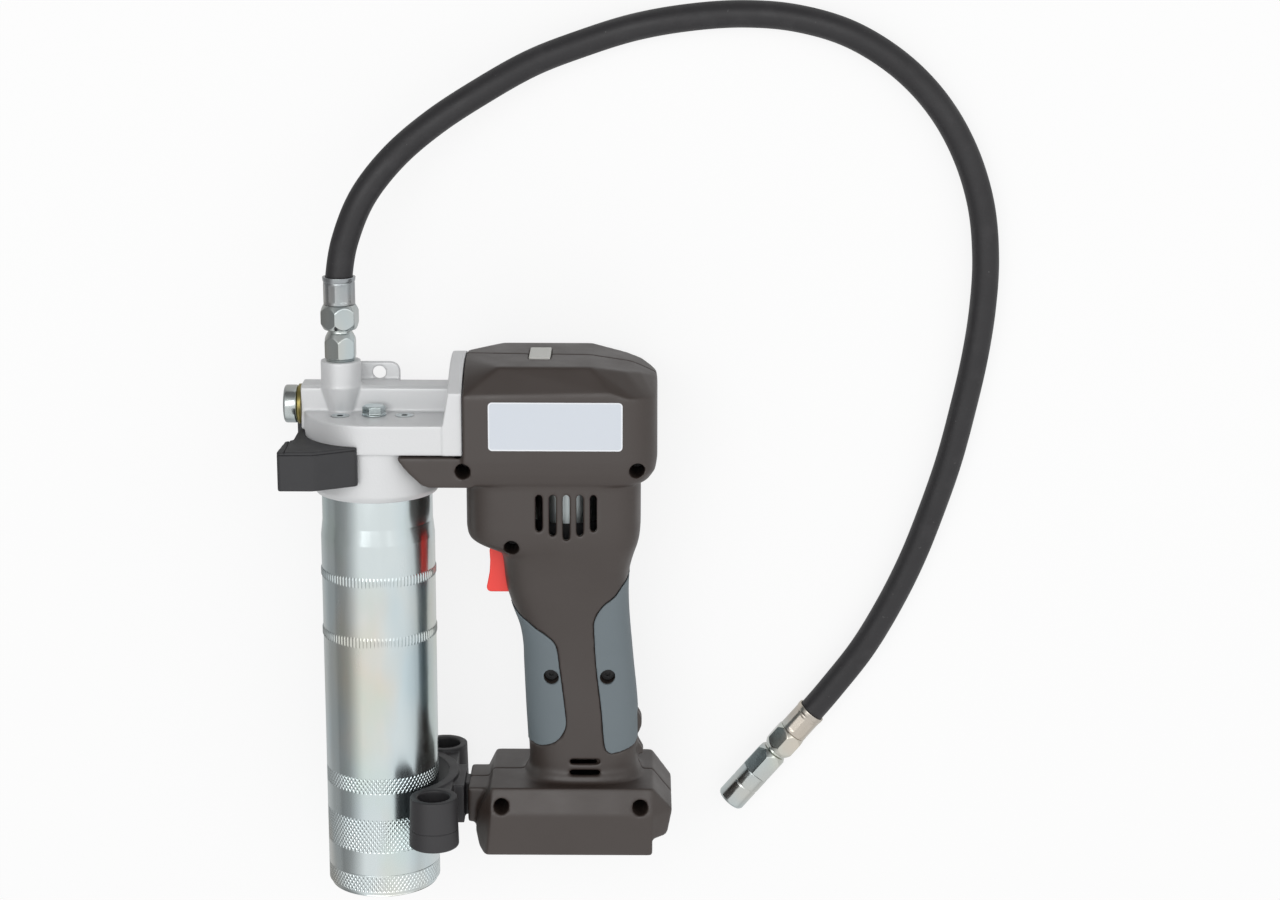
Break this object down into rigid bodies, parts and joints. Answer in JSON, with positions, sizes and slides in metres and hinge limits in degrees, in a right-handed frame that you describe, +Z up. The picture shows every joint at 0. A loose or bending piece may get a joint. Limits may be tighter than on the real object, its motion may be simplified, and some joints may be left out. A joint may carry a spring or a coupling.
{
  "type": "cordless grease gun",
  "caption": "Cordless grease gun with a steel cartridge barrel, cast pump head, pistol-grip housing with battery foot, hose holder and a long high-pressure hose with a coupler.",
  "frame": {"origin": "on the floor, under the centre of the gun's box as it lies on its far side, without the hose", "axes": "+X from the barrel towards the grip's back, +Y along the barrel towards the pump head, +Z up from the floor, out of the side that the picture shows"},
  "size_m": [0.3542, 0.4492, 0.1031],
  "materials": {
    "plated_steel": "zinc plated",
    "cast_head": "as cast, satin",
    "seal_rubber": "matte",
    "washer": "satin",
    "cartridge": "translucent white",
    "follower": "matte",
    "bumper": "matte",
    "housing": "fine texture",
    "pads": "matte",
    "black_screws": "black",
    "motor": "bright",
    "rotor": "varnished copper and steel",
    "inner_plastic": "matte",
    "trigger": "satin",
    "button": "satin",
    "cells": "sleeved",
    "holder": "matte",
    "hose": "matte"
  },
  "bodies": {
    "gun": {"barrel_seal": "seal_rubber", "grease_cartridge": "cartridge", "pump_head": "cast_head", "outlet_plug": "plated_steel", "sealing_washer": "washer", "valve_spring": "plated_steel", "valve_ball": "plated_steel", "bleed_bolt": "plated_steel", "plate_screws": "plated_steel", "side_bumper": "bumper", "outlet_adapter": "plated_steel", "gear_case": "cast_head", "motor_can": "motor", "motor_endbell": "inner_plastic", "front_housing": "housing", "rear_housing": "housing", "housing_screws": "black_screws", "grip_pad_front_near": "pads", "grip_pad_back_near": "pads", "grip_pad_front_far": "pads", "grip_pad_back_far": "pads", "trigger_spring": "plated_steel", "switch_body": "inner_plastic", "hose_holder": "holder", "hose": "hose", "hose_ferrule": "plated_steel", "hose_nut": "plated_steel", "tip_ferrule": "plated_steel", "tip_nut": "plated_steel", "coupler_body": "plated_steel", "coupler_sleeve": "plated_steel", "coupler_jaws": "plated_steel"},
    "barrel": {"barrel_tube": "plated_steel", "barrel_end_cap": "plated_steel"},
    "follower": {"follower": "follower"},
    "battery": {"battery_case": "inner_plastic", "battery_cells": "cells"},
    "trigger": {"trigger": "trigger"},
    "button": {"top_button": "button"},
    "rotor": {"motor_rotor": "rotor"},
    "piston": {"pump_piston": "plated_steel"}
  },
  "joints": [
    {"name": "barrel_slide", "type": "slide", "parent": "gun", "child": "barrel", "axis": [0.002, -0.9992, 0.0397], "range_m": [0, 0.22]},
    {"name": "follower_slide", "type": "slide", "parent": "gun", "child": "follower", "axis": [-0.002, 0.9992, -0.0397], "range_m": [0, 0.185]},
    {"name": "battery_slide", "type": "slide", "parent": "gun", "child": "battery", "axis": [0.002, -0.9992, 0.0397], "range_m": [0, 0.05]},
    {"name": "trigger_slide", "type": "slide", "parent": "gun", "child": "trigger", "axis": [0.9987, 0, -0.0506], "range_m": [0, 0.006], "stiffness_N_per_m": 900, "springref_m": -0.004, "deforming": ["trigger_spring"]},
    {"name": "button_slide", "type": "slide", "parent": "gun", "child": "button", "axis": [0.002, -0.9992, 0.0397], "range_m": [0, 0.0015], "stiffness_N_per_m": 1500, "springref_m": -0.001},
    {"name": "rotor_spin", "type": "hinge", "parent": "gun", "child": "rotor", "pos_m": [0.0435, 0.06731, 0.04131], "axis": [-0.002, 0.9992, -0.0397], "continuous": true},
    {"name": "piston_slide", "type": "slide", "parent": "gun", "child": "piston", "axis": [0.9987, 0, -0.0506], "range_m": [0, 0.01]}
  ]
}
